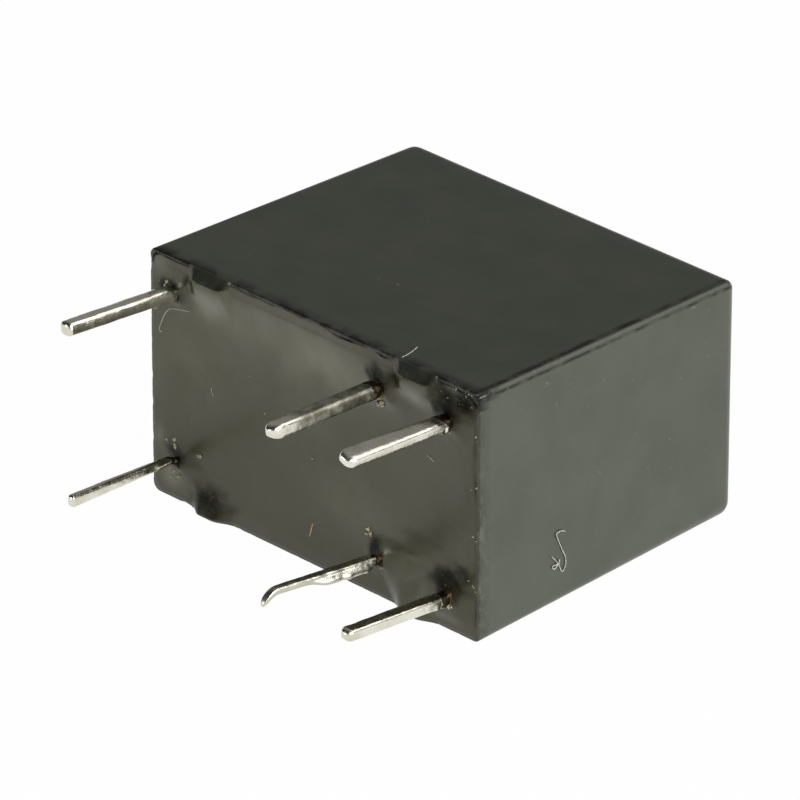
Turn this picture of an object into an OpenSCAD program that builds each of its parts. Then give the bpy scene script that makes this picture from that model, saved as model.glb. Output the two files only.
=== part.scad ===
// Miniature sealed signal relay with one changeover contact, in millimetres.
// It lies on one long side: X is its length, its pins point to -Y and +Z is up.
// Every piece is drawn standing on its pins, and lying() lays it down.
// The origin is the middle of the pin pattern, on the plane of the stand-off feet.

/* [Cover] */
// Length of the cover at its rim
body_l = 12.2; // [12.1:0.1:14]
// Width of the cover at its rim
body_w = 7.2; // [7:0.1:9]
// Height of the cover from its rim to the closed end
body_h = 9.75; // [9.5:0.05:12]
// Thickness of the side walls at the rim
wall = 0.4; // [0.35:0.05:0.5]
// Thickness of the closed end
roof = 0.45; // [0.3:0.05:0.7]
// How far each side leans in from rim to closed end
draft = 0.11; // [0:0.01:0.15]
// Radius of the upright corners at the rim
rim_corner_r = 0.25; // [0.15:0.05:0.4]
// Radius of the edges round the closed end
end_edge_r = 0.42; // [0.3:0.02:0.6]
// Radius of the corners inside the cover
inner_corner_r = 0.2; // [0.1:0.05:0.4]

/* [Stand-off feet] */
// How far the feet stand out of the rim
foot_h = 0.28; // [0.15:0.01:0.5]
// Length of a foot along the rim
foot_l = 1.45; // [1:0.05:1.6]
// Depth of a foot, in from the cover's side
foot_d = 1; // [0.6:0.05:1.2]
// How far a foot's root reaches inside the rim
foot_root = 0.3; // [0.15:0.05:0.4]

/* [Sealing] */
// Depth of the sealing resin below the rim
resin_recess = 0.12; // [0.05:0.01:0.2]
// Thickness of the sealing resin
resin_t = 0.45; // [0.42:0.01:0.8]

/* [Pins] */
// Distance of the end pins from the cover's ends, which puts them 10.16 apart
pin_end_inset = 1.02; // [0.95:0.01:1.3]
// Distance of the pin rows from the cover's sides, which puts them 5.08 apart
pin_side_inset = 1.06; // [1:0.01:1.3]
// Distance from the fixed contacts' pins to the coil pins, one pitch of the board's grid
pitch = 2.54; // [2.3:0.01:2.8]
// Radius of a pin in its solder coat
pin_r = 0.25; // [0.24:0.01:0.3]
// Length of the pins beyond the feet
pin_len = 3.7; // [2.5:0.1:5]
// Width of the bare blade of a pin, where it passes the resin and the base
blade_w = 0.4; // [0.3:0.01:0.4]
// Clearance round a blade in its slot
pin_fit = 0.01; // [0.005:0.005:0.03]
// Thickness of the terminal strips and their blades
strip_t = 0.25; // [0.2:0.01:0.28]
// Width of the terminal strips
strip_w = 0.9; // [0.6:0.05:0.95]

/* [Base] */
// Clearance between the base and the cover
base_gap = 0.05; // [0.02:0.01:0.1]
// Thickness of the base plate
base_t = 0.9; // [0.7:0.05:1.2]
// How far the posts at both ends stop short of the lower contact's tab
post_drop = 0.95; // [0.5:0.05:1.5]
// Thickness of a post's wall between the strips and the coil
post_wall = 0.2; // [0.15:0.05:0.3]

/* [Coil] */
// Thickness of the former's flange at the hinge
flange_a_t = 0.45; // [0.3:0.05:0.6]
// Thickness of the former's flange at the coil pins
flange_b_t = 0.7; // [0.6:0.05:0.8]
// Clearance between the flanges' sides and the wrapping posts
wrap_room = 0.19; // [0.17:0.01:0.25]
// How far the winding stays below the flanges' edges
coil_sink = 0.05; // [0.02:0.01:0.3]
// Wall of the former's tube
tube_wall = 0.33; // [0.2:0.01:0.5]
// Height of the lugs that hold the coil pins
lug_h = 1; // [0.8:0.1:1.2]
// Width of a coil pin's flat wrapping post
wrap_post_w = 0.3; // [0.25:0.01:0.34]
// Length of a wrapping post above its lug
wrap_post_l = 0.85; // [0.6:0.05:1.2]
// Radius of the enamelled wire of the coil's ends
lead_r = 0.04; // [0.03:0.01:0.05]
// Turns of wire round a wrapping post
lead_turns = 4; // [2:1:6]

/* [Iron] */
// Radius of the core in the coil
core_r = 0.9; // [0.7:0.05:1]
// Radius of the core's staked ends
stake_r = 0.6; // [0.4:0.05:0.65]
// Height of the heads on the core's staked ends
stake_head_h = 0.15; // [0.1:0.01:0.2]
// Clearance between the core and what it passes through
core_fit = 0.02; // [0.01:0.01:0.05]
// Room between the post at the hinge end and the yoke's back
yoke_room = 0.35; // [0.3:0.05:0.5]
// Thickness of the yoke and the pole plate
yoke_t = 0.7; // [0.6:0.05:0.8]
// Width of the yoke and the pole plate
yoke_w = 3.6; // [3:0.1:4.2]
// Height of the two plates above the flanges
pole_rise = 0.3; // [0.2:0.05:0.4]
// Thickness of the armature
armature_t = 0.6; // [0.5:0.05:0.65]
// Width of the armature
armature_w = 3.8; // [3.5:0.1:4.2]
// Gap between armature and pole plate with the coil off
armature_gap = 0.33; // [0.25:0.01:0.35]
// How far the armature's end stands in from the yoke's back
armature_inset = 0.06; // [0.05:0.01:0.1]

/* [Contacts] */
// Room between the upper contact's tab and the cover's closed end
head_room = 0.51; // [0.3:0.01:1]
// Height of the contact spring above the armature
spring_rise = 0.75; // [0.7:0.05:0.85]
// Thickness of the contact spring
leaf_t = 0.12; // [0.08:0.01:0.15]
// Width of the contact spring at its root
leaf_root_w = 2.8; // [2.4:0.1:3.4]
// Width of the contact spring at its fingers
leaf_tip_w = 1.9; // [1.6:0.1:2]
// Width of the slot between the two fingers
leaf_slot_w = 0.3; // [0.2:0.05:0.4]
// Radius of a moving contact's heads
contact_r = 0.28; // [0.2:0.01:0.32]
// Height of a moving contact's heads
contact_h = 0.15; // [0.1:0.01:0.2]
// Distance of a moving contact from the spring's middle line
contact_y = 0.52; // [0.5:0.01:0.55]
// Radius of the half-round fixed contacts
bar_r = 0.22; // [0.15:0.01:0.25]
// Gap between the open contacts
contact_gap = 0.38; // [0.36:0.01:0.45]
// Clearance between pieces that move past each other
run_gap = 0.03; // [0.02:0.01:0.05]
// Radius of the rivets that hold the contact spring
rivet_r = 0.2; // [0.15:0.01:0.25]
// Length of the card along the relay
card_l = 0.8; // [0.6:0.05:1]
// Wall of the card round the contact spring
card_wall = 0.32; // [0.25:0.01:0.4]
// Thickness of the spring that holds the armature on the yoke
clip_t = 0.1; // [0.06:0.01:0.12]
// Width of the spring that holds the armature on the yoke
clip_w = 1.2; // [0.8:0.1:1.6]
// Length of its finger over the armature
clip_l = 1.2; // [0.8:0.1:1.5]

/* [Hidden] */
$fn = 48;
// A cut runs this far past the faces that it opens
over = 0.1;
round_fn = 32;

// Inside of the cover
inner_l = body_l - 2*wall;
inner_w = body_w - 2*wall;
rim_z = foot_h;
inner_top = rim_z + body_h - roof;

// Levels above the printed board, from the feet up and from the closed end down
resin_z = rim_z + resin_recess;
base_z = resin_z + resin_t;
base_top = base_z + base_t;
nc_tab_z = inner_top - head_room - strip_t;
nc_bar_z = nc_tab_z - bar_r;
spring_z = nc_bar_z - run_gap - contact_h - leaf_t;
pole_z = spring_z - spring_rise - armature_t;
no_bar_z = spring_z - contact_h - contact_gap;
no_tab_z = no_bar_z - bar_r;
post_top = no_tab_z - strip_t - post_drop;

// A foot's curved flanks would meet this much higher than its flat tip
foot_rounding = 1.3;

// Base plate
base_l = inner_l - 2*base_gap;
base_w = inner_w - 2*base_gap;

// Pins
pin_end_x = body_l/2 - pin_end_inset;
pin_coil_x = pin_end_x - pitch;
pin_y = body_w/2 - pin_side_inset;
foot_x = pin_end_x - pitch/2;
post_x = pin_end_x - strip_t/2 - post_wall;

// Coil former, centred over the coil pins at one end
flange_h = pole_z - pole_rise - base_top;
flange_w = 2*(pin_y - wrap_post_w/2 - wrap_room);
coil_z = base_top + flange_h/2;
coil_r = min(flange_w, flange_h)/2 - coil_sink;
former_x0 = -post_x + yoke_room + yoke_t;
former_x1 = pin_coil_x + flange_b_t/2;
wind_x0 = former_x0 + flange_a_t;
wind_x1 = former_x1 - flange_b_t;
bore_r = core_r + core_fit;
tube_r = bore_r + tube_wall;

// Iron along the relay
yoke_x0 = former_x0 - yoke_t;
pole_x1 = former_x1 + yoke_t;
yoke_foot = 0.65;
head_r = stake_r + 0.2;
edge_chamfer = 0.3;

// Hinge of the armature, on the yoke's back edge, and its tilt with the coil off
hinge_x = yoke_x0;
lift = asin(armature_gap/(pole_x1 - hinge_x));
armature_overhang = 0.1;
armature_x1 = pole_x1 + armature_overhang;
tongue_w = armature_w - 2*edge_chamfer;
tongue_l = 1.4;

// Contact spring, clamped on the bridge of the common terminal
bridge_lip = 0.2;
bridge_x0 = -inner_l/2 + 2*base_gap;
root_x = -pin_end_x + bridge_lip;
leaf_inset = 0.05;
leaf_x0 = bridge_x0 + leaf_inset;
leaf_tip = 0.42;
leaf_x1 = pin_end_x + leaf_tip;
shoulder_l = 0.3;
taper_l = 3.4;
slot_l = 1.7;
rivet_x = (leaf_x0 + root_x)/2;
rivet_y = 0.9;
rivet_head_r = rivet_r + 0.15;
rivet_head_h = 0.14;
rivet_slack = 0.04;

// Contacts and the tabs that carry them
contact_shank_r = contact_r/2;
bar_end = 0.1;
bar_l = 2*(contact_y + contact_r + bar_end);
tab_l = 0.76;
tab_y = leaf_tip_w/2;

// The card over the pole plate, with its slot in the armature's own flat frame
card_x = former_x1;
card_reach = card_x - hinge_x;
slot_z = pole_z + (spring_z - pole_z - card_reach*sin(lift))/cos(lift);
slot_play = 2*run_gap;
slot_w = leaf_tip_w + 2*slot_play + 0.1;
card_w = slot_w + 2*card_wall;
peg_r = 0.25;
peg_y = 0.95;

// Spring clip on the yoke's back
clip_z = pole_z + armature_t + clip_l*sin(lift) + run_gap;
clip_drop = 0.1;
clip_foot = coil_z + head_r + clip_drop;

// Coil pins
lug_w = 0.55;
lug_top = base_top + lug_h;
wrap_rise = 0.2;
wrap_z = lug_top + wrap_rise;
lead_drop = 0.3;

// Lays a piece that is drawn standing on its pins down on its side
module lying() {
  rotate([-90, 0, 0]) children();
}

// Turns what belongs to the armature up to its place with the coil off
module coil_off() {
  translate([hinge_x, 0, pole_z]) rotate([0, -lift, 0]) translate([-hinge_x, 0, -pole_z])
    children();
}

// A block with upright rounded corners, standing on z = 0
module rounded_block(l, w, h, r) {
  translate([-l/2 + r, -w/2, 0]) cube([l - 2*r, w, h]);
  translate([-l/2, -w/2 + r, 0]) cube([l, w - 2*r, h]);
  for (sx = [-1, 1], sy = [-1, 1])
    translate([sx*(l/2 - r), sy*(w/2 - r), 0]) cylinder(r = r, h = h);
}

// A ball whose poles and equator lie on its true radius
module ball(r) {
  rotate_extrude($fn = round_fn) intersection() {
    circle(r, $fn = round_fn);
    translate([0, -r]) square([r, 2*r]);
  }
}

// A rod along X
module rod_x(x0, x1, r) {
  translate([x0, 0, 0]) rotate([0, 90, 0]) cylinder(r = r, h = x1 - x0);
}

// A box given by its lowest and highest corner
module span(a, b) {
  translate(a) cube(b - a);
}

// A wire through a list of points, with balls a little proud at its bends
module wire(points, r) {
  bend = 1.04;
  for (i = [1:len(points) - 1]) {
    d = points[i] - points[i - 1];
    translate(points[i - 1])
      rotate([0, acos(d.z/norm(d)), atan2(d.y, d.x)])
        cylinder(r = r, h = norm(d), $fn = 16);
  }
  for (p = points) translate(p) sphere(r = bend*r, $fn = 16);
}

// The cover's outside: upright corners at the rim, round edges at the closed end
module cover_outside() {
  x0 = body_l/2 - rim_corner_r;
  y0 = body_w/2 - rim_corner_r;
  x1 = body_l/2 - draft - end_edge_r;
  y1 = body_w/2 - draft - end_edge_r;
  hull() {
    for (sx = [-1, 1], sy = [-1, 1]) {
      translate([sx*x0, sy*y0, rim_z]) cylinder(r = rim_corner_r, h = 0.01, $fn = round_fn);
      translate([sx*x1, sy*y1, rim_z + body_h - end_edge_r]) ball(end_edge_r);
    }
  }
}

// One stand-off foot: curved flanks, a flat tip, and a root inside the rim
module foot() {
  arc_h = foot_h*foot_rounding;
  arc_r = (foot_l*foot_l/4 + arc_h*arc_h)/(2*arc_h);
  translate([-foot_l/2, -foot_d, rim_z]) cube([foot_l, foot_d, foot_root]);
  intersection() {
    translate([0, 0, rim_z - arc_h + arc_r]) rotate([90, 0, 0]) cylinder(r = arc_r, h = foot_d);
    translate([-foot_l/2, -foot_d, 0]) cube([foot_l, foot_d, foot_h]);
  }
}

module feet() {
  for (sx = [-1, 1]) {
    translate([sx*foot_x, body_w/2, 0]) foot();
    translate([sx*foot_x, -body_w/2, 0]) mirror([0, 1, 0]) foot();
  }
}

module cover() {
  color([0.24, 0.24, 0.22]) lying() {
    difference() {
      cover_outside();
      translate([0, 0, rim_z - over])
        rounded_block(inner_l, inner_w, body_h - roof + over, inner_corner_r);
    }
    feet();
  }
}

// The six pins' places
module at_pins() {
  for (x = [-pin_end_x, pin_coil_x, pin_end_x], sy = [-1, 1])
    translate([x, sy*pin_y, 0]) children();
}

// A flat blade of a terminal
module blade(w, z, h) {
  translate([-strip_t/2, -w/2, z]) cube([strip_t, w, h]);
}

// A slot for a blade
module blade_slot(blade_width, z, h) {
  l = strip_t + 2*pin_fit;
  w = blade_width + 2*pin_fit;
  translate([-l/2, -w/2, z - over]) cube([l, w, h + 2*over]);
}

module seal_resin() {
  color([0.12, 0.12, 0.11]) lying() difference() {
    translate([0, 0, resin_z]) rounded_block(inner_l, inner_w, resin_t, inner_corner_r);
    feet();
    at_pins() blade_slot(blade_w, resin_z, resin_t);
  }
}

// Post at one end of the base, with a channel for each terminal strip
module end_post() {
  difference() {
    intersection() {
      translate([0, 0, base_top]) rounded_block(base_l, base_w, post_top - base_top, inner_corner_r);
      span([post_x, -base_w/2, base_top], [base_l/2, base_w/2, post_top]);
    }
    for (sy = [-1, 1])
      translate([pin_end_x - strip_t/2, sy*pin_y - strip_w/2 - pin_fit, base_top])
        cube([base_l, strip_w + 2*pin_fit, post_top - base_top + over]);
  }
}

module base() {
  color([0.2, 0.19, 0.17]) lying() {
    difference() {
      translate([0, 0, base_z]) rounded_block(base_l, base_w, base_t, inner_corner_r);
      at_pins() blade_slot(blade_w, base_z, base_t);
    }
    end_post();
    mirror([1, 0, 0]) end_post();
  }
}

// A terminal's leg: a bare blade through base and resin, round in its solder coat below the feet
module leg() {
  translate([0, 0, -pin_len + pin_r]) cylinder(r = pin_r, h = pin_len - pin_r);
  translate([0, 0, -pin_len + pin_r]) sphere(r = pin_r);
  blade(blade_w, -over, base_top + over);
}

module common_terminal() {
  color([0.72, 0.72, 0.7]) lying() {
    for (sy = [-1, 1]) translate([-pin_end_x, sy*pin_y, 0]) {
      leg();
      blade(strip_w, base_top, spring_z - base_top);
    }
    difference() {
      span([bridge_x0, -pin_y - strip_w/2, spring_z - strip_t],
           [root_x, pin_y + strip_w/2, spring_z]);
      for (sy = [-1, 1]) translate([rivet_x, sy*rivet_y, spring_z - strip_t - over])
        cylinder(r = rivet_r + pin_fit, h = strip_t + 2*over);
    }
  }
}

// Terminal of a fixed contact: a strip with a tab bent over the contact spring's tip
module contact_terminal(tab_z) {
  translate([pin_end_x, pin_y, 0]) {
    leg();
    blade(strip_w, base_top, tab_z + strip_t - base_top);
  }
  span([pin_end_x - tab_l/2, -tab_y, tab_z], [pin_end_x + tab_l/2, pin_y + strip_w/2, tab_z + strip_t]);
}

module nc_terminal() {
  color([0.72, 0.72, 0.7]) lying() contact_terminal(nc_tab_z);
}

module no_terminal() {
  color([0.72, 0.72, 0.7]) lying() mirror([0, 1, 0]) contact_terminal(no_tab_z - strip_t);
}

// A half-round contact bar across the relay, round side towards -Z
module contact_bar() {
  intersection() {
    translate([0, bar_l/2, 0]) rotate([90, 0, 0]) cylinder(r = bar_r, h = bar_l);
    translate([-bar_r, -bar_l/2, -bar_r]) cube([2*bar_r, bar_l, bar_r]);
  }
}

module nc_contact() {
  color([0.8, 0.8, 0.78]) lying() translate([pin_end_x, 0, nc_tab_z]) contact_bar();
}

module no_contact() {
  color([0.8, 0.8, 0.78]) lying() translate([pin_end_x, 0, no_tab_z]) rotate([180, 0, 0]) contact_bar();
}

// Coil pin with a flat wrapping post above the base
module coil_terminal() {
  leg();
  blade(wrap_post_w, base_top, lug_h + wrap_post_l);
}

module coil_terminal_a() {
  color([0.72, 0.72, 0.7]) lying() translate([pin_coil_x, pin_y, 0]) coil_terminal();
}

module coil_terminal_b() {
  color([0.72, 0.72, 0.7]) lying() translate([pin_coil_x, -pin_y, 0]) coil_terminal();
}

module bobbin() {
  color([0.86, 0.84, 0.76]) lying() difference() {
    union() {
      translate([0, 0, coil_z]) rod_x(former_x0, former_x1, tube_r);
      span([former_x0, -flange_w/2, base_top], [wind_x0, flange_w/2, base_top + flange_h]);
      span([wind_x1, -flange_w/2, base_top], [former_x1, flange_w/2, base_top + flange_h]);
      span([wind_x1, -pin_y - lug_w, base_top], [former_x1, pin_y + lug_w, lug_top]);
    }
    translate([0, 0, coil_z]) rod_x(former_x0 - over, former_x1 + over, bore_r);
    for (sy = [-1, 1]) translate([pin_coil_x, sy*pin_y, 0]) blade_slot(wrap_post_w, base_top, lug_h);
  }
}

module coil_winding() {
  color([0.62, 0.3, 0.16]) lying() translate([0, 0, coil_z]) difference() {
    rod_x(wind_x0, wind_x1, coil_r);
    rod_x(wind_x0 - over, wind_x1 + over, tube_r + pin_fit);
  }
}

// End of the winding: down beside the flange and round the wrapping post
module coil_lead() {
  side_y = flange_w/2 + lead_r + pin_fit;
  start_x = wind_x1 - 3*lead_r;
  wrap_r = norm([strip_t, wrap_post_w])/2 + pin_fit + lead_r;
  wrap_pitch = 1.8*lead_r;
  wire([[start_x, coil_r + lead_r, coil_z],
        [start_x, side_y, wrap_z + lead_drop],
        [wind_x1 + lead_r, side_y, wrap_z],
        [pin_coil_x - wrap_r*cos(45), pin_y - wrap_r*sin(45), wrap_z]], lead_r);
  for (i = [0:lead_turns - 1])
    translate([pin_coil_x, pin_y, wrap_z + wrap_pitch*i])
      rotate_extrude() translate([wrap_r, 0]) circle(lead_r, $fn = 16);
}

module coil_lead_a() {
  color([0.7, 0.36, 0.2]) lying() coil_lead();
}

module coil_lead_b() {
  color([0.7, 0.36, 0.2]) lying() mirror([0, 1, 0]) coil_lead();
}

module core() {
  color([0.55, 0.55, 0.55]) lying() translate([0, 0, coil_z]) {
    rod_x(former_x0, former_x1, core_r);
    rod_x(yoke_x0, pole_x1, stake_r);
    rod_x(yoke_x0 - stake_head_h, yoke_x0, head_r);
    rod_x(pole_x1, pole_x1 + stake_head_h, head_r);
  }
}

// A stamped iron plate with chamfered lower corners and a bore for the core
module iron_plate(x0) {
  low = base_top + yoke_foot;
  difference() {
    translate([x0, 0, 0]) rotate([90, 0, 90]) linear_extrude(yoke_t) polygon([
      [-yoke_w/2, pole_z], [-yoke_w/2, low + edge_chamfer], [-yoke_w/2 + edge_chamfer, low],
      [yoke_w/2 - edge_chamfer, low], [yoke_w/2, low + edge_chamfer], [yoke_w/2, pole_z]]);
    translate([0, 0, coil_z]) rod_x(x0 - over, x0 + yoke_t + over, stake_r + core_fit);
  }
}

module yoke() {
  color([0.58, 0.58, 0.58]) lying() iron_plate(yoke_x0);
}

module pole_plate() {
  color([0.58, 0.58, 0.58]) lying() iron_plate(former_x1);
}

module hinge_spring() {
  color([0.76, 0.6, 0.36]) lying() {
    span([yoke_x0 - clip_t, -clip_w/2, clip_foot], [yoke_x0, clip_w/2, clip_z + clip_t]);
    span([yoke_x0 - clip_t, -clip_w/2, clip_z], [yoke_x0 + clip_l, clip_w/2, clip_z + clip_t]);
  }
}

// Flat iron with a narrower tongue over the pole plate
module armature() {
  x0 = hinge_x + armature_inset;
  tongue_x = armature_x1 - tongue_l;
  color([0.6, 0.6, 0.6]) lying() coil_off() difference() {
    translate([0, 0, pole_z]) linear_extrude(armature_t) polygon([
      [x0, -armature_w/2], [tongue_x, -armature_w/2], [tongue_x + edge_chamfer, -tongue_w/2],
      [armature_x1 - edge_chamfer, -tongue_w/2], [armature_x1, -tongue_w/2 + edge_chamfer],
      [armature_x1, tongue_w/2 - edge_chamfer], [armature_x1 - edge_chamfer, tongue_w/2],
      [tongue_x + edge_chamfer, tongue_w/2], [tongue_x, armature_w/2], [x0, armature_w/2]]);
    for (sy = [-1, 1]) translate([card_x, sy*peg_y, pole_z - over])
      cylinder(r = peg_r + pin_fit, h = armature_t + 2*over);
  }
}

// Moulded card, staked in the armature, whose window takes the contact spring
module armature_card() {
  foot_z = pole_z + armature_t;
  window_top = slot_z + leaf_t + slot_play;
  color([0.86, 0.84, 0.76]) lying() coil_off() {
    difference() {
      span([card_x - card_l/2, -card_w/2, foot_z], [card_x + card_l/2, card_w/2, window_top + card_wall]);
      span([card_x - card_l, -slot_w/2, slot_z - slot_play], [card_x + card_l, slot_w/2, window_top]);
    }
    for (sy = [-1, 1]) translate([card_x, sy*peg_y, pole_z]) cylinder(r = peg_r, h = armature_t);
  }
}

module contact_spring() {
  color([0.78, 0.62, 0.38]) lying() translate([0, 0, spring_z]) difference() {
    linear_extrude(leaf_t) polygon([
      [leaf_x0, -leaf_root_w/2], [root_x + shoulder_l, -leaf_root_w/2], [root_x + taper_l, -leaf_tip_w/2],
      [leaf_x1, -leaf_tip_w/2], [leaf_x1, leaf_tip_w/2], [root_x + taper_l, leaf_tip_w/2],
      [root_x + shoulder_l, leaf_root_w/2], [leaf_x0, leaf_root_w/2]]);
    translate([leaf_x1 - slot_l, -leaf_slot_w/2, -over]) cube([slot_l + over, leaf_slot_w, leaf_t + 2*over]);
    for (sy = [-1, 1]) {
      translate([rivet_x, sy*rivet_y, -over]) cylinder(r = rivet_r + rivet_slack, h = leaf_t + 2*over);
      translate([pin_end_x, sy*contact_y, -over])
        cylinder(r = contact_shank_r + pin_fit, h = leaf_t + 2*over);
    }
  }
}

// Two double-headed contacts, one in each finger of the spring
module moving_contacts() {
  color([0.82, 0.82, 0.8]) lying() for (sy = [-1, 1]) translate([pin_end_x, sy*contact_y, spring_z]) {
    translate([0, 0, -contact_h]) cylinder(r = contact_r, h = contact_h);
    cylinder(r = contact_shank_r, h = leaf_t);
    translate([0, 0, leaf_t]) cylinder(r = contact_r, h = contact_h);
  }
}

// Two rivets through the spring's root and the common terminal's bridge
module spring_rivets() {
  top = spring_z + leaf_t + rivet_slack;
  low = spring_z - strip_t;
  color([0.7, 0.7, 0.68]) lying() for (sy = [-1, 1]) translate([rivet_x, sy*rivet_y, 0]) {
    translate([0, 0, low]) cylinder(r = rivet_r, h = top - low);
    translate([0, 0, top]) cylinder(r = rivet_head_r, h = rivet_head_h);
    translate([0, 0, low - rivet_head_h]) cylinder(r = rivet_head_r, h = rivet_head_h);
  }
}

cover();
seal_resin();
base();
common_terminal();
nc_terminal();
no_terminal();
coil_terminal_a();
coil_terminal_b();
bobbin();
coil_winding();
coil_lead_a();
coil_lead_b();
core();
yoke();
pole_plate();
hinge_spring();
armature();
armature_card();
contact_spring();
moving_contacts();
spring_rivets();
nc_contact();
no_contact();
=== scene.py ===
# Looks of a miniature sealed relay lying on its side. Sizes are written in millimetres.
import math
import random

import bmesh
import bpy
from mathutils import Matrix, Vector, noise


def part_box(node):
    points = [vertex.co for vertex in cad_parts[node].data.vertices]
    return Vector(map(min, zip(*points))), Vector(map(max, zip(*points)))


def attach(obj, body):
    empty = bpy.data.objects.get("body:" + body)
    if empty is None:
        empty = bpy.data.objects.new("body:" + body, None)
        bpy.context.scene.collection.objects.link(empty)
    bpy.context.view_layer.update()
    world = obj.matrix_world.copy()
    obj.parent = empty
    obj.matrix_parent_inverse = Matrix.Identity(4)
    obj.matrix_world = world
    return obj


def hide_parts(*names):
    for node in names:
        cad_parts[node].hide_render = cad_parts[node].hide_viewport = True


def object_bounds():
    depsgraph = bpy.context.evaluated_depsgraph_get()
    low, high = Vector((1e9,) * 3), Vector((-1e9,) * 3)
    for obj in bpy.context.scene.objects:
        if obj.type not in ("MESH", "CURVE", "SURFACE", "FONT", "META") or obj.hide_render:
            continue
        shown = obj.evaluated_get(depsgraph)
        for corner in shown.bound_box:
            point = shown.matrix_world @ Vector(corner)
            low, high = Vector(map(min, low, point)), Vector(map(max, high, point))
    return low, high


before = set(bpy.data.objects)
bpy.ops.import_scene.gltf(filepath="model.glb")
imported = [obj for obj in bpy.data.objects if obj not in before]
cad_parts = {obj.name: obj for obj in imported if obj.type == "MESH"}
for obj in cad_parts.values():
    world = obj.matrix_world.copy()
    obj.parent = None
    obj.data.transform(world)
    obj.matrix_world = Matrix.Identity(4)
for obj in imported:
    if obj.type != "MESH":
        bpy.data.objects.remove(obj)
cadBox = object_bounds()
mm = 0.001
print("frame loaded:", len(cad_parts), "nodes")


def nodeBox(name):
    low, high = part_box(name)
    return low / mm, high / mm


def addObject(name, data):
    made = bpy.data.objects.new(name, data)
    bpy.context.scene.collection.objects.link(made)
    return made


# The camera was fitted to the body's edges and the six pins in the photograph.
viewpoint = {
    "place": (144.380, -140.848, 104.969), "azimuth": 45.0083, "elevation": 27.1875, "roll": 0.0434,
    "lens": 393.196, "sensor": 36, "nearest": 0.01, "farthest": 5,  # the last two in metres
}


def placeCamera(view):
    azimuth, elevation, roll = (math.radians(view[key]) for key in ("azimuth", "elevation", "roll"))
    level = math.cos(elevation)
    back = Vector((math.sin(azimuth) * level, -math.cos(azimuth) * level, math.sin(elevation)))
    right = Vector((math.cos(azimuth), math.sin(azimuth), 0))
    up = back.cross(right)
    tiltedRight = math.cos(roll) * right + math.sin(roll) * up
    tiltedUp = math.cos(roll) * up - math.sin(roll) * right
    lens = bpy.data.cameras.new("viewpoint")
    lens.lens = view["lens"]
    lens.sensor_width = view["sensor"]
    lens.clip_start = view["nearest"]
    lens.clip_end = view["farthest"]
    camera = addObject("viewpoint", lens)
    turned = Matrix((tiltedRight, tiltedUp, back)).transposed().to_4x4()
    camera.matrix_world = Matrix.Translation(Vector(view["place"]) * mm) @ turned
    bpy.context.scene.camera = camera


placeCamera(viewpoint)
bpy.context.scene.view_settings.view_transform = "Standard"


# Short forms for the nodes that each finish is made of. Their scales count in millimetres.
def addNode(tree, kind, inputs=None, **settings):
    made = tree.nodes.new(kind)
    for key, value in settings.items():
        setattr(made, key, value)
    for key, value in (inputs or {}).items():
        made.inputs[key].default_value = value
    return made


def feed(tree, node, sources):
    for key, source in sources.items():
        tree.links.new(source, node.inputs[key])


def emptyTree(owner):
    owner.use_nodes = True
    owner.node_tree.nodes.clear()
    return owner.node_tree


def startFinish(name, shaderValues):
    finish = bpy.data.materials.new(name)
    tree = emptyTree(finish)
    out = addNode(tree, "ShaderNodeOutputMaterial")
    shader = addNode(tree, "ShaderNodeBsdfPrincipled", shaderValues)
    feed(tree, out, {"Surface": shader.outputs["BSDF"]})
    where = addNode(tree, "ShaderNodeTexCoord")
    inMm = addNode(tree, "ShaderNodeMapping", {"Scale": (1000, 1000, 1000)})
    feed(tree, inMm, {"Vector": where.outputs["Object"]})
    return finish, tree, shader, inMm.outputs["Vector"]


def cloud(tree, place, scale, detail, stretch=(1, 1, 1), turn=(0, 0, 0), shift=(0, 0, 0)):
    mapped = addNode(tree, "ShaderNodeMapping", {"Scale": stretch, "Rotation": turn, "Location": shift})
    feed(tree, mapped, {"Vector": place})
    field = addNode(tree, "ShaderNodeTexNoise", {"Scale": scale, "Detail": detail})
    feed(tree, field, {"Vector": mapped.outputs["Vector"]})
    return field.outputs["Fac"]


def remap(tree, value, low, high, toLow=0.0, toHigh=1.0):
    span = {"From Min": low, "From Max": high, "To Min": toLow, "To Max": toHigh}
    mapped = addNode(tree, "ShaderNodeMapRange", span)
    feed(tree, mapped, {"Value": value})
    return mapped.outputs["Result"]


def combine(tree, how, a, b):
    sums = addNode(tree, "ShaderNodeMath", operation=how)
    for socket, value in zip(sums.inputs, (a, b)):
        if isinstance(value, (int, float)):
            socket.default_value = value
        else:
            tree.links.new(value, socket)
    return sums.outputs["Value"]


def mottle(tree, place, layers):
    parts = []
    for scale, detail, share, shift in layers:
        field = cloud(tree, place, scale, detail, shift=shift)
        parts.append(combine(tree, "MULTIPLY", field, share))
    return combine(tree, "ADD", *parts)


def mixColours(tree, factor, a, b):
    mixed = addNode(tree, "ShaderNodeMix", data_type="RGBA")
    feed(tree, mixed, {"Factor": factor})
    for socket, value in ((mixed.inputs[6], a), (mixed.inputs[7], b)):
        if isinstance(value, tuple):
            socket.default_value = (*value, 1)
        else:
            tree.links.new(value, socket)
    return mixed.outputs[2]


def bumpFrom(tree, height, depth, before=None):
    bump = addNode(tree, "ShaderNodeBump", {"Distance": depth * mm})
    feed(tree, bump, {"Height": height, "Normal": before} if before else {"Height": height})
    return bump.outputs["Normal"]


# Each piece's code gives its points these values, such as wear, the cover's painted shade, or the resin's
# pale haze with painted sheen.
def pointValue(tree, name):
    return addNode(tree, "ShaderNodeAttribute", attribute_name=name).outputs["Fac"]


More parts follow.
